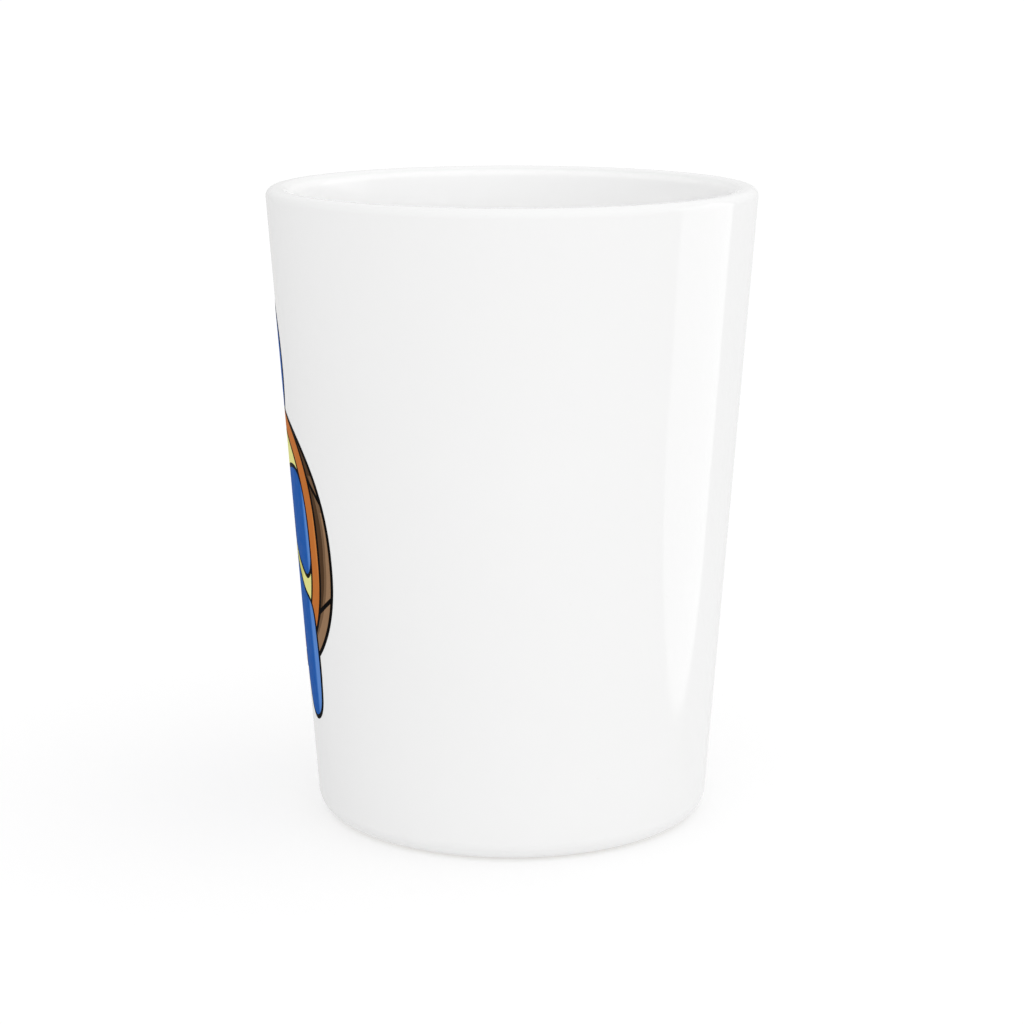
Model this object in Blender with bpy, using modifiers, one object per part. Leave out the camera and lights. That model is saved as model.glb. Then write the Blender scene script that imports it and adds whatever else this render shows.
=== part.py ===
"""Shot glass: a slip-cast ceramic cup with its glaze, and a printed bow badge.

Metres, Z up. The foot's centre is at the origin and the badge faces -Y.
Every surface of the cup is measured on the outside of the glaze.
"""

from math import atan, copysign, cos, degrees, hypot, radians, sin, tau

import bmesh
import bpy

MM = 0.001

# The cup
HEIGHT = 60.0 * MM
MOUTH_RADIUS = 23.0 * MM  # the outer cone at the lip's height
BASE_RADIUS = 18.75 * MM  # the same cone carried down to the table
LIP_WALL = 2.2 * MM
FLOOR_WALL = 3.2 * MM
FLOOR_HEIGHT = 5.2 * MM
LIP_OUTER_ROUND = 0.8 * MM
LIP_INNER_ROUND = 1.1 * MM
FLOOR_ROUND = 3.2 * MM
BASE_ROUND = 2.0 * MM

# The ground foot and the recess inside it
FOOT_INNER_RADIUS = 14.3 * MM
RECESS_RADIUS = 13.9 * MM
RECESS_HEIGHT = 1.0 * MM
RECESS_GLAZE_RADIUS = 13.4 * MM

# The glaze
GLAZE = 0.2 * MM
GLAZE_FIT = 0.05 * MM  # between the glaze and the body under it
GLAZE_END = -60.0  # where the glaze stops on the base's round, in degrees
DRY_START = -62.0

FACETS = 48
FACET = tau / FACETS

# The print: height over the glaze, then the layers
INK = 0.05 * MM
INK_FIT = 0.03 * MM
LINE = 0.42 * MM  # black line between two colours, and round the outside
OVAL_STEPS = 48
CURVE_STEPS = 4

# The badge, in arc length round the cup and height up it. Its rings are rounded ovals:
# half width, half height, height of the middle, and power, which is 2 for an ellipse.
MIDDLE = 27.65 * MM
RING_OUTER = (10.7 * MM, 11.7 * MM, MIDDLE, 2.5)
RING_INNER = (9.25 * MM, 10.15 * MM, MIDDLE, 2.5)
PLEATS_OUTER = (13.3 * MM, 12.8 * MM, 26.9 * MM, 2.25)
HANGER = (4.8 * MM, 5.9 * MM, 43.8 * MM, 2.2)
HANGER_HOLE = (2.3 * MM, 2.8 * MM, 44.4 * MM, 2.2)

# Outlines in millimetres from the badge's middle, counterclockwise. The bow's are smoothed.
KNOT = ((1.9, 0.1), (1.4, 1.6), (0, 2.1), (-1.4, 1.6), (-1.9, 0.1), (-1.4, -1.4), (0, -1.9), (1.4, -1.4))
LOOP = (
    (0.7, -0.6), (3.0, -0.9), (5.6, -2.4), (7.5, -3.2), (8.7, -2.0), (8.9, 0.4),
    (8.7, 3.2), (8.0, 5.4), (6.7, 6.5), (4.4, 6.4), (2.0, 5.5), (0.7, 2.8),
)  # fmt: skip
TAIL = (
    (0.2, -0.5), (1.0, -3.7), (2.2, -8.3), (3.5, -12.9), (4.8, -16.3), (6.4, -17.2),
    (8.0, -16.0), (8.5, -13.0), (8.5, -9.5), (8.0, -6.3), (5.8, -4.9), (2.5, -2.0),
)  # fmt: skip
# The seams between the right side's pleats, with their ends past both edges
SEAMS = (((8.0, 8.1), (13.6, 3.2)), ((8.4, -7.4), (13.4, -4.1)))
# Zones that keep the pieces of a ring apart. Their straight sides run under the bow.
ABOVE = ((0, 0), (16, 2), (16, 16), (-16, 16), (-16, 2))
BESIDE = ((0, 0), (9, -16), (16, -16), (16, 2))
BELOW = ((0, 0), (-9, -16), (9, -16))
PLEAT_ZONES = {
    "upper": ((0, 0), *SEAMS[0], (16, 16), (0, 16)),
    "middle": ((0, 0), *SEAMS[1], *SEAMS[0][::-1]),
    "lower": ((0, 0), (9, -16), (16, -16), *SEAMS[1][::-1]),
}

LEAN = (MOUTH_RADIUS - BASE_RADIUS) / HEIGHT
INNER_MOUTH_RADIUS = MOUTH_RADIUS - LIP_WALL
INNER_FLOOR_RADIUS = BASE_RADIUS + LEAN * FLOOR_HEIGHT - FLOOR_WALL
INNER_LEAN = (INNER_MOUTH_RADIUS - INNER_FLOOR_RADIUS) / (HEIGHT - FLOOR_HEIGHT)


def cone_radius(height):
    return BASE_RADIUS + LEAN * height


def inner_radius(height):
    return INNER_FLOOR_RADIUS + INNER_LEAN * (height - FLOOR_HEIGHT)


def arc(centre, radius, start, end, steps):
    """Points along an arc. The angles are in degrees."""
    angles = [radians(start + (end - start) * i / steps) for i in range(steps + 1)]
    return [(centre[0] + radius * cos(a), centre[1] + radius * sin(a)) for a in angles]


# ---- turned shapes ----


def cup_profile(inset, end):
    """The cup's skin, from the middle of the floor over the lip to the base's round."""
    lean = degrees(atan(LEAN))
    inner_lean = degrees(atan(INNER_LEAN))
    floor_round_height = FLOOR_HEIGHT + FLOOR_ROUND
    floor_round_radius = inner_radius(floor_round_height) - FLOOR_ROUND / cos(atan(INNER_LEAN))
    inner_lip_height = HEIGHT - LIP_INNER_ROUND
    inner_lip_radius = inner_radius(inner_lip_height) + LIP_INNER_ROUND / cos(atan(INNER_LEAN))
    outer_lip_height = HEIGHT - LIP_OUTER_ROUND
    outer_lip_radius = cone_radius(outer_lip_height) - LIP_OUTER_ROUND / cos(atan(LEAN))
    base = (base_round_radius(), BASE_ROUND)
    return [
        (0, FLOOR_HEIGHT - inset),
        *arc((floor_round_radius, floor_round_height), FLOOR_ROUND + inset, -90, -inner_lean, 6),
        *arc((inner_lip_radius, inner_lip_height), LIP_INNER_ROUND - inset, 180 - inner_lean, 90, 4),
        *arc((outer_lip_radius, outer_lip_height), LIP_OUTER_ROUND - inset, 90, -lean, 4),
        *arc(base, BASE_ROUND - inset, -lean, end, 4),
    ]


def base_round_radius():
    return cone_radius(BASE_ROUND) - BASE_ROUND / cos(atan(LEAN))


def body_profile():
    """The fired body: the skin set in under the glaze, then the dry foot and the recess."""
    foot = arc((base_round_radius(), BASE_ROUND), BASE_ROUND, DRY_START, -90, 2)
    ceiling = RECESS_HEIGHT + GLAZE + GLAZE_FIT
    recess = [(FOOT_INNER_RADIUS, 0), (RECESS_RADIUS, ceiling), (0, ceiling)]
    return cup_profile(GLAZE + GLAZE_FIT, DRY_START) + foot + recess


def glaze_profile():
    return cup_profile(0, GLAZE_END) + cup_profile(GLAZE, GLAZE_END)[::-1]


def recess_glaze_profile():
    """A disc of glaze on the recess's ceiling, rounded where it thins out."""
    rim = (RECESS_GLAZE_RADIUS - GLAZE * 0.6, RECESS_HEIGHT + GLAZE * 0.6)
    top = RECESS_HEIGHT + GLAZE
    return [(0, top), (RECESS_GLAZE_RADIUS, top), *arc(rim, GLAZE * 0.6, 0, -90, 2), (0, RECESS_HEIGHT)]


def turned(name, profile, material):
    mesh = bpy.data.meshes.new(name)
    steps = [(i, i + 1) for i in range(len(profile) - 1)]
    mesh.from_pydata([(r, 0, z) for r, z in profile], steps, [])
    mesh.materials.append(material)
    part = bpy.data.objects.new(name, mesh)
    glass.objects.link(part)
    turn = part.modifiers.new("turn", "SCREW")
    turn.steps = turn.render_steps = FACETS
    turn.use_merge_vertices = True
    turn.merge_threshold = 0.01 * MM
    turn.use_smooth_shade = True
    return part


# ---- printed shapes ----


def on_cup(across, height, lift):
    """The place on the cup's facets for a point of the flat print."""
    facet, part_way = divmod(across / cone_radius(height) / FACET, 1)
    radius = cone_radius(height) + lift / (cos(FACET / 2) * cos(atan(LEAN)))
    ends = [facet * FACET, (facet + 1) * FACET]
    x, y = ([radius * f(a) for a in ends] for f in (sin, cos))
    return (
        x[0] + (x[1] - x[0]) * part_way,
        -(y[0] + (y[1] - y[0]) * part_way),
        height,
    )


def flat_sheet(outline, thickness):
    """A closed flat sheet over an outline, as an object."""
    curve = bpy.data.curves.new("outline", "CURVE")
    curve.dimensions = "2D"
    curve.fill_mode = "BOTH"
    curve.extrude = thickness / 2
    spline = curve.splines.new("POLY")
    spline.points.add(len(outline) - 1)
    for point, (across, height) in zip(spline.points, outline):
        point.co = (across, height, 0, 1)
    spline.use_cyclic_u = True
    drawn = bpy.data.objects.new("outline", curve)
    mesh = bpy.data.meshes.new_from_object(drawn)
    bpy.data.objects.remove(drawn)
    shape = bmesh.new()
    shape.from_mesh(mesh)
    bmesh.ops.remove_doubles(shape, verts=shape.verts, dist=0.001 * MM)
    bmesh.ops.recalc_face_normals(shape, faces=shape.faces)
    shape.to_mesh(mesh)
    shape.free()
    sheet = bpy.data.objects.new("sheet", mesh)
    glass.objects.link(sheet)
    return sheet


def trimmed(outline, joined, within, cut):
    """One ink layer over an outline, with others joined on, kept within others, or cut away."""
    sheet = flat_sheet(outline, INK)
    helpers = [(flat_sheet(other, INK), "UNION") for other in joined]
    helpers += [(flat_sheet(other, 3 * INK), "INTERSECT") for other in within]
    helpers += [(flat_sheet(other, 3 * INK), "DIFFERENCE") for other in cut]
    for helper, operation in helpers:
        step = sheet.modifiers.new(operation, "BOOLEAN")
        step.operation = operation
        step.solver = "EXACT"
        step.object = helper
    flat = bmesh.new()
    flat.from_object(sheet, bpy.context.evaluated_depsgraph_get())
    for used in [sheet, *(helper for helper, _ in helpers)]:
        bpy.data.objects.remove(used)
    bmesh.ops.remove_doubles(flat, verts=flat.verts, dist=0.001 * MM)
    return flat


def printed(name, material, outline, joined=(), within=(), cut=(), layer=1):
    """A patch of ink, bent to lie parallel to the facets of the glaze."""
    sheet = trimmed(outline, joined, within, cut)
    widest = max(abs(vertex.co.x) for vertex in sheet.verts)
    folds = int(widest / BASE_RADIUS / FACET) + 1
    for fold in range(-folds, folds + 1):
        bmesh.ops.bisect_plane(
            sheet,
            geom=sheet.verts[:] + sheet.edges[:] + sheet.faces[:],
            dist=0.0005 * MM,
            plane_co=(fold * FACET * BASE_RADIUS, 0, 0),
            plane_no=(1, -fold * FACET * LEAN, 0),
        )
    bottom = INK_FIT + layer * (INK + INK_FIT)
    for vertex in sheet.verts:
        across, height, depth = vertex.co
        vertex.co = on_cup(across, height, bottom + INK / 2 + depth)
    bmesh.ops.recalc_face_normals(sheet, faces=sheet.faces)
    if sheet.calc_volume(signed=True) < 0:
        bmesh.ops.reverse_faces(sheet, faces=sheet.faces)
    mesh = bpy.data.meshes.new(name)
    sheet.to_mesh(mesh)
    sheet.free()
    mesh.materials.append(material)
    mesh.shade_smooth()
    mesh.set_sharp_from_angle(angle=radians(30))
    glass.objects.link(bpy.data.objects.new(name, mesh))


def oval(half_width, half_height, height, power):
    """A closed oval, squarer than an ellipse if its power is over 2."""
    outline = []
    for i in range(OVAL_STEPS):
        x, y = (f(tau * i / OVAL_STEPS) for f in (cos, sin))
        x, y = (copysign(abs(v) ** (2 / power), v) for v in (x, y))
        outline.append((half_width * x, height + half_height * y))
    return outline


def straight(points):
    """A closed outline with straight sides through points of the badge."""
    return [(across * MM, MIDDLE + up * MM) for across, up in points]


def smooth(points):
    """A closed smooth outline through points of the badge."""
    outline = []
    for i in range(len(points)):
        around = [points[(i + k) % len(points)] for k in (-1, 0, 1, 2)]
        for t in (j / CURVE_STEPS for j in range(CURVE_STEPS)):
            shares = (
                (-t + 2 * t**2 - t**3) / 2,
                (2 - 5 * t**2 + 3 * t**3) / 2,
                (t + 4 * t**2 - 3 * t**3) / 2,
                (t**3 - t**2) / 2,
            )
            outline.append([sum(s * p[axis] for s, p in zip(shares, around)) for axis in (0, 1)])
    return straight(outline)


def grown(outline, distance=LINE):
    """A smooth outline moved outwards, or inwards by a negative distance."""
    moved = []
    for before, (x, y), after in zip(
        outline[-1:] + outline[:-1], outline, outline[1:] + outline[:1]
    ):
        along = (after[0] - before[0], after[1] - before[1])
        share = distance / hypot(*along)
        moved.append((x + share * along[1], y - share * along[0]))
    return moved


def mirrored(outline):
    return [(-across, height) for across, height in reversed(outline)]


def bar(start, end):
    """A black line between two pleats, from one point of the badge to another."""
    (x0, y0), (x1, y1) = straight((start, end))
    share = LINE / 2 / hypot(x1 - x0, y1 - y0)
    x, y = share * (y1 - y0), share * (x0 - x1)
    return [(x0 + x, y0 + y), (x1 + x, y1 + y), (x1 - x, y1 - y), (x0 - x, y0 - y)]


def both(outline):
    """The outline and its mirror image, which is on the badge's left."""
    return {"right": outline, "left": mirrored(outline)}


def print_badge():
    knot, loops, tails = smooth(KNOT), both(smooth(LOOP)), both(smooth(TAIL))
    knot_line = grown(knot)
    loop_lines = [grown(loop) for loop in loops.values()]
    tail_lines = [grown(tail) for tail in tails.values()]
    edge, hanger, hole = oval(*PLEATS_OUTER), oval(*HANGER), oval(*HANGER_HOLE)
    printed("key_line", black, edge, joined=[hanger, *tail_lines], cut=[hole], layer=0)
    printed("hanger", blue, grown(hanger, -LINE), cut=[grown(hole), edge])

    ring, ring_hole = oval(*RING_OUTER), oval(*RING_INNER)
    below = straight(BELOW)
    printed("ring_upper", orange, ring, cut=[ring_hole, below, *tail_lines])
    printed("ring_lower", orange, below, within=[ring], cut=[ring_hole, *tail_lines])

    bow_lines = [knot_line, *loop_lines, *tail_lines]
    field = {"within": [grown(ring_hole, -LINE)], "cut": bow_lines}
    printed("field_upper", yellow, straight(ABOVE), **field)
    printed("field_lower", yellow, below, **field)
    seams = [side for start, end in SEAMS for side in both(bar(start, end)).values()]
    pleats = {"within": [grown(edge, -LINE)], "cut": [grown(ring), *tail_lines, *seams]}
    printed("pleat_lowest", brown, below, **pleats)
    for side in ("right", "left"):
        printed(f"field_{side}", yellow, both(straight(BESIDE))[side], **field)
        for place, zone in PLEAT_ZONES.items():
            printed(f"pleat_{side}_{place}", brown, both(straight(zone))[side], **pleats)
        printed(f"bow_loop_{side}", blue, loops[side], cut=[knot_line])
        printed(f"bow_tail_{side}", blue, tails[side], cut=[knot_line, *loop_lines])
    printed("bow_knot", orange, knot)


def surface(name, colour, roughness):
    material = bpy.data.materials.new(name)
    material.use_nodes = True
    shader = material.node_tree.nodes["Principled BSDF"]
    shader.inputs["Base Color"].default_value = (*colour, 1)
    shader.inputs["Roughness"].default_value = roughness
    material.diffuse_color = (*colour, 1)
    return material


for old in list(bpy.data.objects):
    bpy.data.objects.remove(old)
glass = bpy.data.collections.new("shot_glass")
bpy.context.scene.collection.children.link(glass)

fired = surface("fired body", (0.80, 0.78, 0.74), 0.85)
glazed = surface("white glaze", (0.88, 0.88, 0.87), 0.08)
black = surface("black ink", (0.006, 0.005, 0.006), 0.25)
brown = surface("brown ink", (0.14, 0.075, 0.04), 0.3)
orange = surface("orange ink", (0.48, 0.17, 0.045), 0.3)
yellow = surface("yellow ink", (0.65, 0.62, 0.22), 0.3)
blue = surface("blue ink", (0.024, 0.105, 0.37), 0.3)

turned("ceramic_body", body_profile(), fired)
turned("glaze_coat", glaze_profile(), glazed)
turned("recess_glaze", recess_glaze_profile(), glazed)
print_badge()
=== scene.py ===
"""Looks of the glazed ceramic shot glass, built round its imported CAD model.

Metres, Z up. The print faces -Y, and the camera stands on the +X side, as the photograph's does.
"""

from math import atan, copysign, cos, degrees, hypot, pi, radians, sin, tau

import bmesh
import bpy
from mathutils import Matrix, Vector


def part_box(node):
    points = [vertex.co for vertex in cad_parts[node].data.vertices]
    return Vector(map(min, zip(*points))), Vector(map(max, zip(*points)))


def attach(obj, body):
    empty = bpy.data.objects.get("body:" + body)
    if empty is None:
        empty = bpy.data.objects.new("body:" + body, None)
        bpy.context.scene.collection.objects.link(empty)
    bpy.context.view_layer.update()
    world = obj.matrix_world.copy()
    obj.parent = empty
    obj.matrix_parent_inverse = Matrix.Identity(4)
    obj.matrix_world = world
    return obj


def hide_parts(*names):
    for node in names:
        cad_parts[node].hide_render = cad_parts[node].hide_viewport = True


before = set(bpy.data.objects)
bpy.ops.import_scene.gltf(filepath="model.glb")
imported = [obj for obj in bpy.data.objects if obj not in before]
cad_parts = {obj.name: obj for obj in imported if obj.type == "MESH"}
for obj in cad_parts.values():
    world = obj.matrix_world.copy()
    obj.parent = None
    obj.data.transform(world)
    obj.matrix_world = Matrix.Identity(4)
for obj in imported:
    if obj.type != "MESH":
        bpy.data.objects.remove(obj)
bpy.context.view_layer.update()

MM = 0.001

# The cup, measured on its glaze. The heights come from the CAD boxes.
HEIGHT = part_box("glaze_coat")[1].z
MOUTH_RADIUS = 23.0 * MM
BASE_RADIUS = 18.75 * MM
LIP_WALL = 2.2 * MM
FLOOR_WALL = 3.2 * MM
FLOOR_HEIGHT = 5.2 * MM
LIP_OUTER_ROUND = 0.8 * MM
LIP_INNER_ROUND = 1.1 * MM
FLOOR_ROUND = 3.2 * MM
BASE_ROUND = 2.0 * MM
FOOT_INNER_RADIUS = 14.3 * MM
FOOT_BEVEL = 0.25 * MM
RECESS_RADIUS = 13.9 * MM
RECESS_HEIGHT, RECESS_TOP = (corner.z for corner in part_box("recess_glaze"))
RECESS_GLAZE_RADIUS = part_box("recess_glaze")[1].x
GLAZE = RECESS_TOP - RECESS_HEIGHT
GLAZE_FIT = 0.01 * MM
GLAZE_END = -60.0
AROUND = 288
TURNED_SHARP = radians(55)

# The print
LINE = 0.42 * MM  # black line between two colours, and round the outside
INK = 0.012 * MM
INK_FIT = 0.004 * MM
INK_FOLD = radians(1.25)
SAME_POINT = 0.0005 * MM
INK_SHARP = radians(30)
OVAL_STEPS = 192
CURVE_STEPS = 12

# The badge, in arc length round the cup and height up it. Its rings are rounded ovals:
# half width, half height, height of the middle, and power, which is 2 for an ellipse.
MIDDLE = 27.65 * MM
RING_OUTER = (10.7 * MM, 11.7 * MM, MIDDLE, 2.5)
RING_INNER = (9.25 * MM, 10.15 * MM, MIDDLE, 2.5)
PLEATS_OUTER = (13.3 * MM, 12.8 * MM, 26.9 * MM, 2.25)
HANGER = (4.8 * MM, 5.9 * MM, 43.8 * MM, 2.2)
HANGER_HOLE = (2.3 * MM, 2.8 * MM, 44.4 * MM, 2.2)

# Outlines in millimetres from the badge's middle, counterclockwise. The bow's are smoothed.
KNOT = ((1.9, 0.1), (1.4, 1.6), (0, 2.1), (-1.4, 1.6), (-1.9, 0.1), (-1.4, -1.4), (0, -1.9), (1.4, -1.4))
LOOP = (
    (0.7, -0.6), (3.0, -0.9), (5.6, -2.4), (7.5, -3.2), (8.7, -2.0), (8.9, 0.4),
    (8.7, 3.2), (8.0, 5.4), (6.7, 6.5), (4.4, 6.4), (2.0, 5.5), (0.7, 2.8),
)  # fmt: skip
TAIL = (
    (0.2, -0.5), (1.0, -3.7), (2.2, -8.3), (3.5, -12.9), (4.8, -16.3), (6.4, -17.2),
    (8.0, -16.0), (8.5, -13.0), (8.5, -9.5), (8.0, -6.3), (5.8, -4.9), (2.5, -2.0),
)  # fmt: skip
# The seams between the right side's pleats, with their ends past both edges
SEAMS = (((8.0, 8.1), (13.6, 3.2)), ((8.4, -7.4), (13.4, -4.1)))
# Zones that keep the pieces of a ring apart. Their straight sides run under the bow.
ABOVE = ((0, 0), (16, 2), (16, 16), (-16, 16), (-16, 2))
BESIDE = ((0, 0), (9, -16), (16, -16), (16, 2))
BELOW = ((0, 0), (-9, -16), (9, -16))
PLEAT_ZONES = {
    "upper": ((0, 0), *SEAMS[0], (16, 16), (0, 16)),
    "middle": ((0, 0), *SEAMS[1], *SEAMS[0][::-1]),
    "lower": ((0, 0), (9, -16), (16, -16), *SEAMS[1][::-1]),
}

LEAN = (MOUTH_RADIUS - BASE_RADIUS) / HEIGHT
SLANT = atan(LEAN)
INNER_MOUTH_RADIUS = MOUTH_RADIUS - LIP_WALL
INNER_FLOOR_RADIUS = BASE_RADIUS + LEAN * FLOOR_HEIGHT - FLOOR_WALL
INNER_LEAN = (INNER_MOUTH_RADIUS - INNER_FLOOR_RADIUS) / (HEIGHT - FLOOR_HEIGHT)
INNER_SLANT = atan(INNER_LEAN)


def cone_radius(height):
    return BASE_RADIUS + LEAN * height


def inner_radius(height):
    return INNER_FLOOR_RADIUS + INNER_LEAN * (height - FLOOR_HEIGHT)


def arc(centre, radius, start, end, steps):
    """Points along an arc. The angles are in degrees."""
    angles = [radians(start + (end - start) * i / steps) for i in range(steps + 1)]
    return [(centre[0] + radius * cos(a), centre[1] + radius * sin(a)) for a in angles]


def between(start, end, steps):
    """Points of a straight line, without its ends."""
    shares = [i / steps for i in range(1, steps)]
    return [(start[0] + (end[0] - start[0]) * t, start[1] + (end[1] - start[1]) * t) for t in shares]


# ---- materials ----


def linear(red, green, blue):
    """A colour given in 0 to 255, as the shader takes it."""
    shares = [c / 255 for c in (red, green, blue)]
    return (*[s / 12.92 if s <= 0.04045 else ((s + 0.055) / 1.055) ** 2.4 for s in shares], 1)


class Paint:
    """A Principled material, with short ways to wire its nodes."""

    def __init__(self, name, roughness, specular):
        self.material = bpy.data.materials.new(name)
        self.material.use_nodes = True
        self.tree = self.material.node_tree
        self.shader = self.tree.nodes["Principled BSDF"]
        self.shader.inputs["Roughness"].default_value = roughness
        self.shader.inputs["Specular IOR Level"].default_value = specular
        self.place = self.node("ShaderNodeTexCoord").outputs["Object"]

    def node(self, kind, **settings):
        made = self.tree.nodes.new(kind)
        for name, value in settings.items():
            setattr(made, name, value)
        return made

    def feed(self, socket, value):
        if isinstance(value, bpy.types.NodeSocket):
            self.tree.links.new(value, socket)
        else:
            socket.default_value = value

    def maths(self, operation, *values):
        made = self.node("ShaderNodeMath", operation=operation)
        for socket, value in zip(made.inputs, values):
            self.feed(socket, value)
        return made.outputs[0]

    def noise(self, size, detail=2.0):
        """Smooth noise from 0 to 1, with features about size across."""
        made = self.node("ShaderNodeTexNoise")
        self.feed(made.inputs["Vector"], self.place)
        self.feed(made.inputs["Scale"], 1 / size)
        self.feed(made.inputs["Detail"], detail)
        return made.outputs["Fac"]

    def dots(self, spacing, size):
        """1 in small round dots spread about spacing apart, and 0 between them."""
        made = self.node("ShaderNodeTexVoronoi")
        self.feed(made.inputs["Vector"], self.place)
        self.feed(made.inputs["Scale"], 1 / spacing)
        return self.ranged(made.outputs["Distance"], size / spacing, 0, 0, 1)

    def ranged(self, value, low, high, new_low, new_high):
        made = self.node("ShaderNodeMapRange")
        for socket, number in zip(made.inputs, (value, low, high, new_low, new_high)):
            self.feed(socket, number)
        return made.outputs["Result"]

    def mix(self, share, first, second):
        made = self.node("ShaderNodeMix", data_type="RGBA")
        for socket, value in zip((made.inputs[0], made.inputs[6], made.inputs[7]), (share, first, second)):
            self.feed(socket, value)
        return made.outputs[2]

    def steps(self, value, colours):
        """Bands of flat colour: (where each starts, colour)."""
        made = self.node("ShaderNodeValToRGB")
        made.color_ramp.interpolation = "CONSTANT"
        stops = made.color_ramp.elements
        for index, (start, colour) in enumerate(colours):
            stop = stops[index] if index < 2 else stops.new(start)
            stop.position, stop.color = start, colour
        self.feed(made.inputs["Fac"], value)
        return made.outputs["Color"]

    def colour(self, value):
        self.feed(self.shader.inputs["Base Color"], value)

    def rough(self, value):
        self.feed(self.shader.inputs["Roughness"], value)

    def bump(self, *layers):
        """Relief from (height from 0 to 1, depth in metres) layers."""
        below = None
        for height, depth in layers:
            made = self.node("ShaderNodeBump")
            self.feed(made.inputs["Height"], height)
            self.feed(made.inputs["Distance"], depth)
            self.feed(made.inputs["Strength"], 1.0)
            if below:
                self.feed(made.inputs["Normal"], below)
            below = made.outputs["Normal"]
        self.feed(self.shader.inputs["Normal"], below)

    def badge_place(self):
        """(distance to the side, height) from the badge's middle, worked out on the unrolled cup."""
        parts = self.node("ShaderNodeSeparateXYZ")
        self.feed(parts.inputs[0], self.place)
        x, y, height = parts.outputs
        turn = self.maths("ARCTAN2", x, self.maths("MULTIPLY", y, -1.0))
        radius = self.maths("ADD", self.maths("MULTIPLY", height, LEAN), BASE_RADIUS)
        across = self.maths("MULTIPLY", turn, radius)
        return self.maths("ABSOLUTE", across), self.maths("SUBTRACT", height, MIDDLE)

    def far_from(self, place, half_width=1.0, half_height=1.0, drop=0.0):
        """Distance from the badge's middle, or from an oval's, where 1 is its edge."""
        across = self.maths("DIVIDE", place[0], half_width)
        up = self.maths("DIVIDE", self.maths("ADD", place[1], drop), half_height)
        squares = [self.maths("MULTIPLY", value, value) for value in (across, up)]
        return self.maths("SQRT", self.maths("ADD", *squares))


def white_glaze():
    """Glossy white glaze, painted whiter inside the cup as painted light, with a faint orange peel and a few
    pinholes.
    """
    paint = Paint("white_glaze", 0.06, 0.5)
    parts = paint.node("ShaderNodeSeparateXYZ")
    paint.feed(parts.inputs[0], paint.place)
    x, y, z = parts.outputs
    squares = [paint.maths("MULTIPLY", value, value) for value in (x, y)]
    radius = paint.maths("SQRT", paint.maths("ADD", *squares))
    skin = paint.maths("ADD", paint.maths("MULTIPLY", z, LEAN), BASE_RADIUS)
    # Painted light: inside the cup the glaze is painted much whiter than outside, standing in for the light
    # that reaches the interior.
    painted_light_inside = paint.ranged(paint.maths("SUBTRACT", skin, radius), 0.85 * LIP_WALL, LIP_WALL, 0, 1)
    cloud = paint.noise(14 * MM)
    outer = paint.mix(cloud, (0.822, 0.822, 0.82, 1), (0.838, 0.838, 0.838, 1))
    # The inner tone is painted light, a whiter colour for the cup's inside.
    inner = paint.mix(cloud, (0.972, 0.972, 0.97, 1), (0.98, 0.98, 0.98, 1))
    tone = paint.mix(painted_light_inside, outer, inner)
    pinholes = paint.dots(2.6 * MM, 0.07 * MM)
    paint.colour(paint.mix(pinholes, tone, (0.70, 0.68, 0.65, 1)))
    paint.rough(paint.ranged(paint.noise(5 * MM), 0.3, 0.7, 0.045, 0.075))
    paint.bump((paint.noise(7 * MM, 0), 0.012 * MM), (paint.noise(1.4 * MM, 1), 0.0012 * MM))
    return paint.material


def fired_body():
    """Bare fired clay: off-white, matt and fine-grained, with dark specks and open pores."""
    paint = Paint("fired_body", 0.85, 0.3)
    grain = paint.noise(0.12 * MM, 4)
    specks = paint.dots(1.1 * MM, 0.06 * MM)
    tone = paint.mix(grain, (0.70, 0.67, 0.62, 1), (0.84, 0.82, 0.78, 1))
    tone = paint.mix(paint.noise(3 * MM), tone, (0.76, 0.74, 0.70, 1))
    paint.colour(paint.mix(specks, tone, (0.36, 0.29, 0.22, 1)))
    paint.rough(paint.ranged(grain, 0.2, 0.8, 0.75, 0.95))
    paint.bump((grain, 0.02 * MM), (specks, 0.03 * MM))
    return paint.material


def ink(name, colour_of, roughness=0.5):
    """Printed ink: the colour that colour_of wires, slightly uneven, with almost no sheen."""
    paint = Paint(name, roughness, 0.01)
    paint.colour(colour_of(paint))
    paint.rough(paint.ranged(paint.noise(0.8 * MM), 0.3, 0.7, roughness - 0.06, roughness + 0.06))
    paint.bump((paint.noise(0.2 * MM, 2), 0.0006 * MM))
    return paint.material


def black_of(paint):
    return paint.mix(paint.noise(0.5 * MM), (0.0005, 0.0004, 0.0005, 1), (0.002, 0.0015, 0.002, 1))


def brown_of(paint):
    """Flat tones from the ring to the pleats' outer edge: dark, middle and light.

    Towards the top they move outwards, so that the highest pleats are nearly all dark.
    """
    half_width, half_height, height, _ = PLEATS_OUTER
    place = paint.badge_place()
    far = paint.far_from(place, half_width, half_height, MIDDLE - height)
    share = paint.ranged(far, (RING_OUTER[0] + LINE) / half_width, 1 - LINE / half_width, 0, 1)
    share = paint.maths("SUBTRACT", share, paint.ranged(place[1], -1 * MM, 7 * MM, 0, 0.6))
    dark, middle, light = linear(76, 54, 35), linear(112, 86, 63), linear(143, 112, 84)
    return paint.steps(share, [(0, dark), (0.42, middle), (0.66, light)])


def orange_of(paint):
    """Flat orange, lighter along the ring's sides and in the knot's middle."""
    place = paint.badge_place()
    share = paint.ranged(place[0], 0, RING_OUTER[0], 0, 1)
    shade, light = linear(186, 108, 47), linear(196, 121, 58)
    in_knot = paint.maths("LESS_THAN", paint.far_from(place), 0.9 * MM)
    return paint.mix(in_knot, paint.steps(share, [(0, shade), (0.965, light)]), light)


def yellow_of(paint):
    """Light yellow, with a darker band behind the bow."""
    share = paint.ranged(paint.far_from(paint.badge_place()), 0, RING_INNER[1], 0, 1)
    shade, light = linear(202, 199, 108), linear(220, 218, 137)
    return paint.steps(share, [(0, light), (0.44, shade), (0.68, light)])


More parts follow.
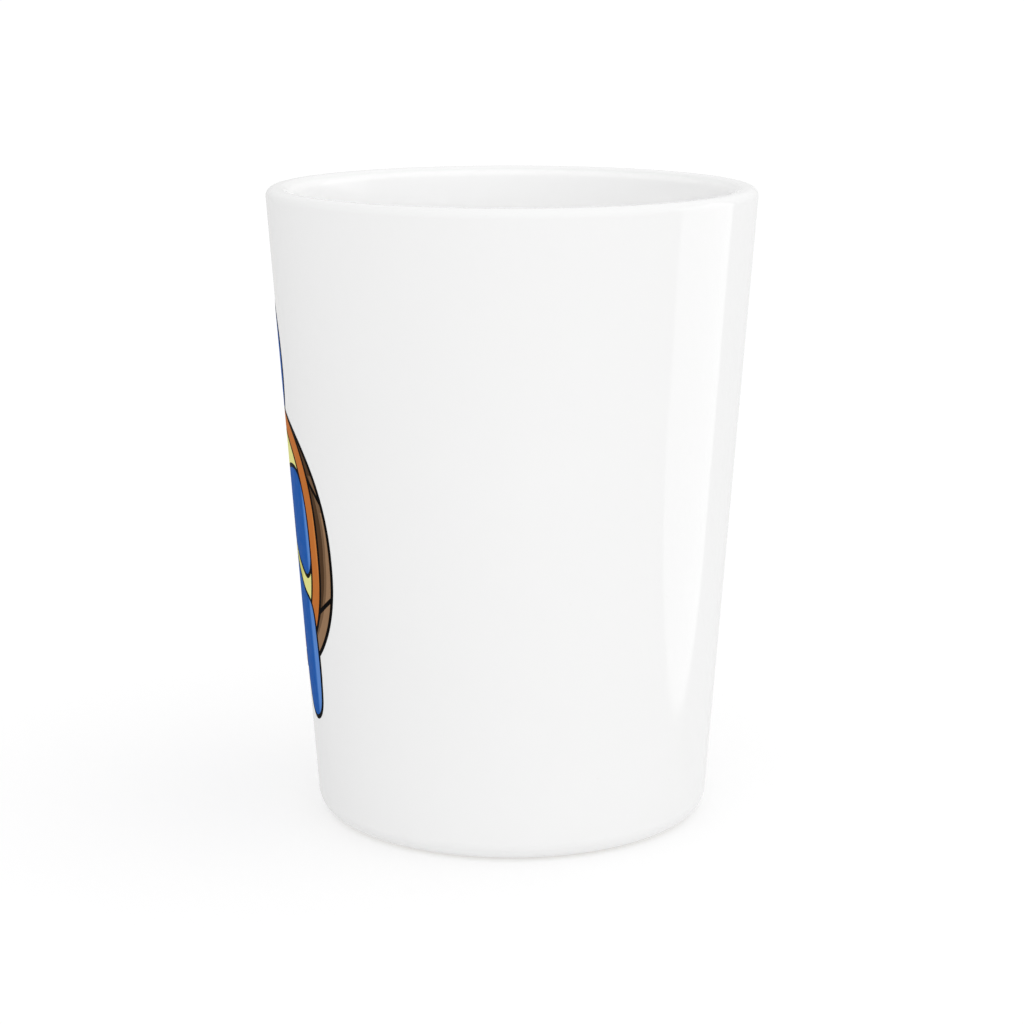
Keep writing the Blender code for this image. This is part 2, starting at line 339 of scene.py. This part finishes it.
def blue_of(paint):
    """Flat blue, lighter along the outer edge of each loop and tail, and dark by the knot."""
    across, up = place = paint.badge_place()
    far = paint.far_from(place)
    in_loop = paint.maths("GREATER_THAN", up, -4.2 * MM)
    edge = paint.ranged(in_loop, 0, 1, 7.45 * MM, 8.3 * MM)
    beyond = paint.maths("SUBTRACT", across, edge)
    light = paint.ranged(beyond, -0.5 * MM, 0.5 * MM, 0, 1)
    shade, middle, bright = linear(23, 84, 163), linear(50, 106, 182), linear(84, 130, 200)
    blue = paint.steps(light, [(0, shade), (0.2, middle), (0.5, bright)])
    by_knot = paint.maths("LESS_THAN", far, 3.4 * MM)
    return paint.mix(by_knot, blue, linear(8, 38, 112))


# ---- the cup ----


def ripple(angle, seed):
    """A smooth, uneven wave round the cup, between about -1 and 1."""
    waves = ((3, 0.45), (5, 0.25), (8, 0.18), (13, 0.12))
    return sum(share * sin(count * angle + seed * (count + 1.3)) for count, share in waves)


def base_round_radius():
    return cone_radius(BASE_ROUND) - BASE_ROUND / cos(SLANT)


def cup_profile(inset, end):
    """The cup's skin, from the middle of the floor over the lip to the base's round."""
    lean, inner_lean = degrees(SLANT), degrees(INNER_SLANT)
    floor_round = FLOOR_HEIGHT + FLOOR_ROUND
    inner_lip = HEIGHT - LIP_INNER_ROUND
    outer_lip = HEIGHT - LIP_OUTER_ROUND
    middle = (0, FLOOR_HEIGHT - inset)
    floor_arc = arc(
        (inner_radius(floor_round) - FLOOR_ROUND / cos(INNER_SLANT), floor_round),
        FLOOR_ROUND + inset, -90, -inner_lean, 20,
    )  # fmt: skip
    inner_lip_arc = arc(
        (inner_radius(inner_lip) + LIP_INNER_ROUND / cos(INNER_SLANT), inner_lip),
        LIP_INNER_ROUND - inset, 180 - inner_lean, 90, 12,
    )  # fmt: skip
    outer_lip_arc = arc(
        (cone_radius(outer_lip) - LIP_OUTER_ROUND / cos(SLANT), outer_lip),
        LIP_OUTER_ROUND - inset, 90, -lean, 12,
    )  # fmt: skip
    base_arc = arc((base_round_radius(), BASE_ROUND), BASE_ROUND - inset, -lean, end, 14)
    return [
        middle,
        *between(middle, floor_arc[0], 6),
        *floor_arc,
        *between(floor_arc[-1], inner_lip_arc[0], 16),
        *inner_lip_arc,
        *outer_lip_arc,
        *between(outer_lip_arc[-1], base_arc[0], 16),
        *base_arc,
    ]


def glaze_profile(angle):
    """The glaze's section at an angle round the cup. Its lower edge is rounded and uneven."""
    end = GLAZE_END + 2.5 * ripple(angle, 1)
    inner = GLAZE - GLAZE_FIT
    edge_centre = arc((base_round_radius(), BASE_ROUND), BASE_ROUND - inner / 2, end, end, 1)[0]
    edge = arc(edge_centre, inner / 2, end, end - 180, 8)
    return cup_profile(0, end) + edge[1:-1] + cup_profile(inner, end)[::-1]


def body_profile(angle):
    """The fired body's section: under the glaze, then out to the dry foot and the recess."""
    centre = (base_round_radius(), BASE_ROUND)
    start, dry = GLAZE_END + 7, GLAZE_END - 7
    ramp = [
        arc(centre, BASE_ROUND - GLAZE * (1 - t) ** 2, start + (dry - start) * t, 0, 1)[0]
        for t in (0.2, 0.4, 0.6, 0.8)
    ]
    foot = arc(centre, BASE_ROUND, dry, -90, 6)
    foot_edge = FOOT_INNER_RADIUS + FOOT_BEVEL
    bevel = arc((foot_edge, FOOT_BEVEL), FOOT_BEVEL, -90, -180, 5)
    corner = 0.5 * MM
    cove = arc((RECESS_RADIUS - corner, RECESS_TOP - corner), corner, 0, 90, 6)
    return [*cup_profile(GLAZE, start), *ramp, *foot, *bevel, *cove, (0, RECESS_TOP)]


def recess_glaze_profile(angle):
    """A pool of glaze on the recess's ceiling, with a rounded and uneven edge."""
    radius = RECESS_GLAZE_RADIUS + 0.12 * MM * ripple(angle, 2)
    top, thick = RECESS_TOP - GLAZE_FIT, RECESS_TOP - GLAZE_FIT - RECESS_HEIGHT
    edge = arc((radius - thick, RECESS_HEIGHT + thick), thick, 0, -90, 6)
    return [(0, top), *between((0, top), edge[0], 4), *edge, (0, RECESS_HEIGHT)]


def turned(name, profile_at, material, node):
    """A closed turned piece whose section may vary with the angle, in place of a CAD node."""
    shape = bmesh.new()
    sections = [profile_at(i * tau / AROUND) for i in range(AROUND)]
    last = len(sections[0]) - 1
    poles = [shape.verts.new((0, 0, sections[0][end][1])) for end in (0, last)]
    columns = [
        [shape.verts.new((r * cos(i * tau / AROUND), r * sin(i * tau / AROUND), z)) for r, z in section[1:-1]]
        for i, section in enumerate(sections)
    ]
    for i, column in enumerate(columns):
        following = columns[(i + 1) % AROUND]
        shape.faces.new((poles[0], column[0], following[0]))
        shape.faces.new((poles[1], following[-1], column[-1]))
        for j in range(len(column) - 1):
            shape.faces.new((column[j], column[j + 1], following[j + 1], following[j]))
    placed(name, shape, material, [node], TURNED_SHARP)


def placed(name, shape, material, nodes, sharp):
    """Turns a bmesh into a piece that rides on the cup and stands for its CAD nodes."""
    bmesh.ops.recalc_face_normals(shape, faces=shape.faces)
    if shape.calc_volume(signed=True) < 0:
        bmesh.ops.reverse_faces(shape, faces=shape.faces)
    mesh = bpy.data.meshes.new(name)
    shape.to_mesh(mesh)
    shape.free()
    mesh.materials.append(material)
    mesh.shade_smooth()
    mesh.set_sharp_from_angle(angle=sharp)
    piece = bpy.data.objects.new(name, mesh)
    bpy.context.scene.collection.objects.link(piece)
    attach(piece, "root")
    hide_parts(*nodes)


# ---- the print ----


def on_cup(across, height, lift):
    """The place on the cup for a point of the flat print."""
    turn = across / cone_radius(height)
    radius = cone_radius(height) + lift / cos(SLANT)
    return (radius * sin(turn), -radius * cos(turn), height)


def flat_sheet(outline, thickness):
    """A closed flat sheet over an outline, as an object."""
    curve = bpy.data.curves.new("outline", "CURVE")
    curve.dimensions = "2D"
    curve.fill_mode = "BOTH"
    curve.extrude = thickness / 2
    spline = curve.splines.new("POLY")
    spline.points.add(len(outline) - 1)
    for point, (across, height) in zip(spline.points, outline):
        point.co = (across, height, 0, 1)
    spline.use_cyclic_u = True
    drawn = bpy.data.objects.new("outline", curve)
    mesh = bpy.data.meshes.new_from_object(drawn)
    bpy.data.objects.remove(drawn)
    shape = bmesh.new()
    shape.from_mesh(mesh)
    bmesh.ops.remove_doubles(shape, verts=shape.verts, dist=SAME_POINT)
    bmesh.ops.recalc_face_normals(shape, faces=shape.faces)
    shape.to_mesh(mesh)
    shape.free()
    sheet = bpy.data.objects.new("sheet", mesh)
    bpy.context.scene.collection.objects.link(sheet)
    return sheet


def trimmed(outline, joined, within, cut):
    """One ink layer over an outline, with others joined on, kept within others, or cut away."""
    sheet = flat_sheet(outline, INK)
    helpers = [(flat_sheet(other, INK), "UNION") for other in joined]
    helpers += [(flat_sheet(other, 3 * INK), "INTERSECT") for other in within]
    helpers += [(flat_sheet(other, 3 * INK), "DIFFERENCE") for other in cut]
    for helper, operation in helpers:
        step = sheet.modifiers.new(operation, "BOOLEAN")
        step.operation = operation
        step.solver = "EXACT"
        step.object = helper
    flat = bmesh.new()
    flat.from_object(sheet, bpy.context.evaluated_depsgraph_get())
    for used in [sheet, *(helper for helper, _ in helpers)]:
        bpy.data.objects.remove(used)
    bmesh.ops.remove_doubles(flat, verts=flat.verts, dist=SAME_POINT)
    return flat


def printed(name, ink_and_slot, outline, joined=(), within=(), cut=(), layer=1):
    """A patch of ink, bent smoothly round the cup, in place of the CAD node of that name."""
    sheet = trimmed(outline, joined, within, cut)
    widest = max(abs(vertex.co.x) for vertex in sheet.verts)
    folds = int(widest / BASE_RADIUS / INK_FOLD) + 1
    for fold in range(-folds, folds + 1):
        bmesh.ops.bisect_plane(
            sheet,
            geom=sheet.verts[:] + sheet.edges[:] + sheet.faces[:],
            dist=SAME_POINT,
            plane_co=(fold * INK_FOLD * BASE_RADIUS, 0, 0),
            plane_no=(1, -fold * INK_FOLD * LEAN, 0),
        )
    bottom = INK_FIT + layer * (INK + INK_FIT)
    for vertex in sheet.verts:
        across, height, depth = vertex.co
        vertex.co = on_cup(across, height, bottom + INK / 2 + depth)
    material, slot = ink_and_slot
    placed(f"{name}_ink", sheet, material, [name], INK_SHARP)


def oval(half_width, half_height, height, power):
    """A closed oval, squarer than an ellipse if its power is over 2."""
    outline = []
    for i in range(OVAL_STEPS):
        x, y = (f(tau * i / OVAL_STEPS) for f in (cos, sin))
        x, y = (copysign(abs(v) ** (2 / power), v) for v in (x, y))
        outline.append((half_width * x, height + half_height * y))
    return outline


def straight(points):
    """A closed outline with straight sides through points of the badge."""
    return [(across * MM, MIDDLE + up * MM) for across, up in points]


def smooth(points):
    """A closed smooth outline through points of the badge."""
    outline = []
    for i in range(len(points)):
        around = [points[(i + k) % len(points)] for k in (-1, 0, 1, 2)]
        for t in (j / CURVE_STEPS for j in range(CURVE_STEPS)):
            shares = (
                (-t + 2 * t**2 - t**3) / 2,
                (2 - 5 * t**2 + 3 * t**3) / 2,
                (t + 4 * t**2 - 3 * t**3) / 2,
                (t**3 - t**2) / 2,
            )
            outline.append([sum(s * p[axis] for s, p in zip(shares, around)) for axis in (0, 1)])
    return straight(outline)


def grown(outline, distance=LINE):
    """A smooth outline moved outwards, or inwards by a negative distance."""
    moved = []
    for before, (x, y), after in zip(
        outline[-1:] + outline[:-1], outline, outline[1:] + outline[:1]
    ):
        along = (after[0] - before[0], after[1] - before[1])
        share = distance / hypot(*along)
        moved.append((x + share * along[1], y - share * along[0]))
    return moved


def mirrored(outline):
    return [(-across, height) for across, height in reversed(outline)]


def bar(start, end):
    """A black line between two pleats, from one point of the badge to another."""
    (x0, y0), (x1, y1) = straight((start, end))
    share = LINE / 2 / hypot(x1 - x0, y1 - y0)
    x, y = share * (y1 - y0), share * (x0 - x1)
    return [(x0 + x, y0 + y), (x1 + x, y1 + y), (x1 - x, y1 - y), (x0 - x, y0 - y)]


def both(outline):
    """The outline and its mirror image, which is on the badge's left."""
    return {"right": outline, "left": mirrored(outline)}


def print_badge():
    black = (ink("black_ink", black_of), "black_ink")
    brown = (ink("brown_ink", brown_of), "brown_ink")
    orange = (ink("orange_ink", orange_of), "orange_ink")
    yellow = (ink("yellow_ink", yellow_of), "yellow_ink")
    blue = (ink("blue_ink", blue_of), "blue_ink")
    knot, loops, tails = smooth(KNOT), both(smooth(LOOP)), both(smooth(TAIL))
    knot_line = grown(knot)
    loop_lines = [grown(loop) for loop in loops.values()]
    tail_lines = [grown(tail) for tail in tails.values()]
    edge, hanger, hole = oval(*PLEATS_OUTER), oval(*HANGER), oval(*HANGER_HOLE)
    printed("key_line", black, edge, joined=[hanger, *tail_lines], cut=[hole], layer=0)
    printed("hanger", blue, grown(hanger, -LINE), cut=[grown(hole), edge])

    ring, ring_hole = oval(*RING_OUTER), oval(*RING_INNER)
    below = straight(BELOW)
    printed("ring_upper", orange, ring, cut=[ring_hole, below, *tail_lines])
    printed("ring_lower", orange, below, within=[ring], cut=[ring_hole, *tail_lines])

    bow_lines = [knot_line, *loop_lines, *tail_lines]
    field = {"within": [grown(ring_hole, -LINE)], "cut": bow_lines}
    printed("field_upper", yellow, straight(ABOVE), **field)
    printed("field_lower", yellow, below, **field)
    seams = [side for start, end in SEAMS for side in both(bar(start, end)).values()]
    pleats = {"within": [grown(edge, -LINE)], "cut": [grown(ring), *tail_lines, *seams]}
    printed("pleat_lowest", brown, below, **pleats)
    for side in ("right", "left"):
        printed(f"field_{side}", yellow, both(straight(BESIDE))[side], **field)
        for place, zone in PLEAT_ZONES.items():
            printed(f"pleat_{side}_{place}", brown, both(straight(zone))[side], **pleats)
        printed(f"bow_loop_{side}", blue, loops[side], cut=[knot_line])
        printed(f"bow_tail_{side}", blue, tails[side], cut=[knot_line, *loop_lines])
    printed("bow_knot", orange, knot)


# ---- the studio ----

CAMERA_DISTANCE = 4.0 * HEIGHT
CAMERA_HEIGHT = 1.36 * HEIGHT
CAMERA_PITCH = 12.42  # degrees down
LENS = 90
FLOOR_RADIUS = 8.0
FLOOR_SHADE = 0.55
FLOOR_GLOW = 0.43

# The room's light: the same all round, and what each side adds to it
ROOM_LIGHT = 0.6
RIGHT_LIGHT = 0.26
TOP_LIGHT = 0.31
FRONT_LIGHT = 0.31
BACK_LIGHT = 0.056
SIDE_LIGHT = 0.056
ROOM_IN_VIEW = 1.05  # the room where the camera sees it past the floor

# The softbox, in degrees of azimuth and elevation. Its lower end is half an ellipse.
SOFTBOX_AZIMUTH = 104
SOFTBOX_HALF_WIDTH = 19.5
SOFTBOX_ROUND_TOP = -16.5
SOFTBOX_BOTTOM = -21.5
SOFTBOX_TOP = 30
SOFTBOX_TOP_BLUR = 2
SOFTBOX_BLUR = 0.03  # as a share of its size
SOFTBOX_LIGHT = 0.72


def add_camera():
    data = bpy.data.cameras.new("camera")
    data.lens = LENS
    data.clip_start, data.clip_end = 0.01, 50
    camera = bpy.data.objects.new("camera", data)
    camera.location = (CAMERA_DISTANCE, 0, CAMERA_HEIGHT)
    camera.rotation_euler = (radians(90 - CAMERA_PITCH), 0, radians(90))
    bpy.context.scene.collection.objects.link(camera)
    bpy.context.scene.camera = camera


def add_floor():
    """A white light table. The cup's reflections see the white room in its place."""
    shape = bmesh.new()
    bmesh.ops.create_circle(shape, cap_ends=True, segments=96, radius=FLOOR_RADIUS)
    mesh = bpy.data.meshes.new("floor")
    shape.to_mesh(mesh)
    shape.free()
    paint = Paint("floor", 0.9, 0.0)
    paint.colour((FLOOR_SHADE, FLOOR_SHADE, FLOOR_SHADE, 1))
    paint.feed(paint.shader.inputs["Emission Color"], (1, 1, 1, 1))
    paint.feed(paint.shader.inputs["Emission Strength"], FLOOR_GLOW)
    mesh.materials.append(paint.material)
    floor = bpy.data.objects.new("floor", mesh)
    bpy.context.scene.collection.objects.link(floor)
    floor.visible_glossy = False


def add_room():
    """A white room, brighter from the front, the right and above. Only gloss shows its softbox."""
    world = bpy.data.worlds.new("room")
    bpy.context.scene.world = world
    world.use_nodes = True
    tree = world.node_tree
    tree.nodes.clear()

    def node(kind, **settings):
        made = tree.nodes.new(kind)
        for name, value in settings.items():
            setattr(made, name, value)
        return made

    def feed(socket, value):
        if isinstance(value, bpy.types.NodeSocket):
            tree.links.new(value, socket)
        else:
            socket.default_value = value

    def maths(operation, *values):
        made = node("ShaderNodeMath", operation=operation)
        for socket, value in zip(made.inputs, values):
            feed(socket, value)
        return made.outputs[0]

    def ranged(value, low, high, new_low, new_high):
        made = node("ShaderNodeMapRange", interpolation_type="SMOOTHSTEP")
        for socket, number in zip(made.inputs, (value, low, high, new_low, new_high)):
            feed(socket, number)
        return made.outputs["Result"]

    parts = node("ShaderNodeSeparateXYZ")
    feed(parts.inputs[0], node("ShaderNodeTexCoord").outputs["Generated"])
    x, y, z = parts.outputs
    light = maths("ADD", ranged(y, -1.0, 0.6, 0, RIGHT_LIGHT), ROOM_LIGHT)
    light = maths("ADD", light, maths("MULTIPLY", maths("MAXIMUM", z, 0.0), TOP_LIGHT))
    light = maths("ADD", light, ranged(x, -0.5, 1.0, 0, FRONT_LIGHT))
    light = maths("ADD", light, ranged(x, -0.3, -1.0, 0, BACK_LIGHT))
    light = maths("ADD", light, ranged(maths("ABSOLUTE", y), 0.5, 1.0, 0, SIDE_LIGHT))

    azimuth = maths("MULTIPLY", maths("ARCTAN2", y, x), 180 / pi)
    elevation = maths("MULTIPLY", maths("ARCSINE", z), 180 / pi)
    across = maths("DIVIDE", maths("SUBTRACT", azimuth, SOFTBOX_AZIMUTH), SOFTBOX_HALF_WIDTH)
    under = maths("MAXIMUM", maths("SUBTRACT", SOFTBOX_ROUND_TOP, elevation), 0.0)
    under = maths("DIVIDE", under, SOFTBOX_ROUND_TOP - SOFTBOX_BOTTOM)
    squares = [maths("MULTIPLY", value, value) for value in (across, under)]
    edge = maths("SQRT", maths("ADD", *squares))
    panel = ranged(edge, 1.0 + SOFTBOX_BLUR, 1.0 - SOFTBOX_BLUR, 0, 1)
    panel = maths("MULTIPLY", panel, ranged(elevation, SOFTBOX_TOP + SOFTBOX_TOP_BLUR, SOFTBOX_TOP, 0, 1))
    path = node("ShaderNodeLightPath")
    glossy = maths("MULTIPLY", panel, path.outputs["Is Glossy Ray"])
    light = maths("ADD", light, maths("MULTIPLY", glossy, SOFTBOX_LIGHT))

    seen = node("ShaderNodeMix", data_type="FLOAT")
    feed(seen.inputs[0], path.outputs["Is Camera Ray"])
    feed(seen.inputs[2], light)
    feed(seen.inputs[3], ROOM_IN_VIEW)
    background = node("ShaderNodeBackground")
    feed(background.inputs["Color"], (1, 1, 1, 1))
    feed(background.inputs["Strength"], seen.outputs[0])
    output = node("ShaderNodeOutputWorld")
    feed(output.inputs["Surface"], background.outputs[0])


glaze = white_glaze()
turned("body", body_profile, fired_body(), "ceramic_body")
turned("glaze", glaze_profile, glaze, "glaze_coat")
turned("recess_pool", recess_glaze_profile, glaze, "recess_glaze")
print_badge()
add_camera()
add_floor()
add_room()
bpy.context.scene.view_settings.view_transform = "Standard"
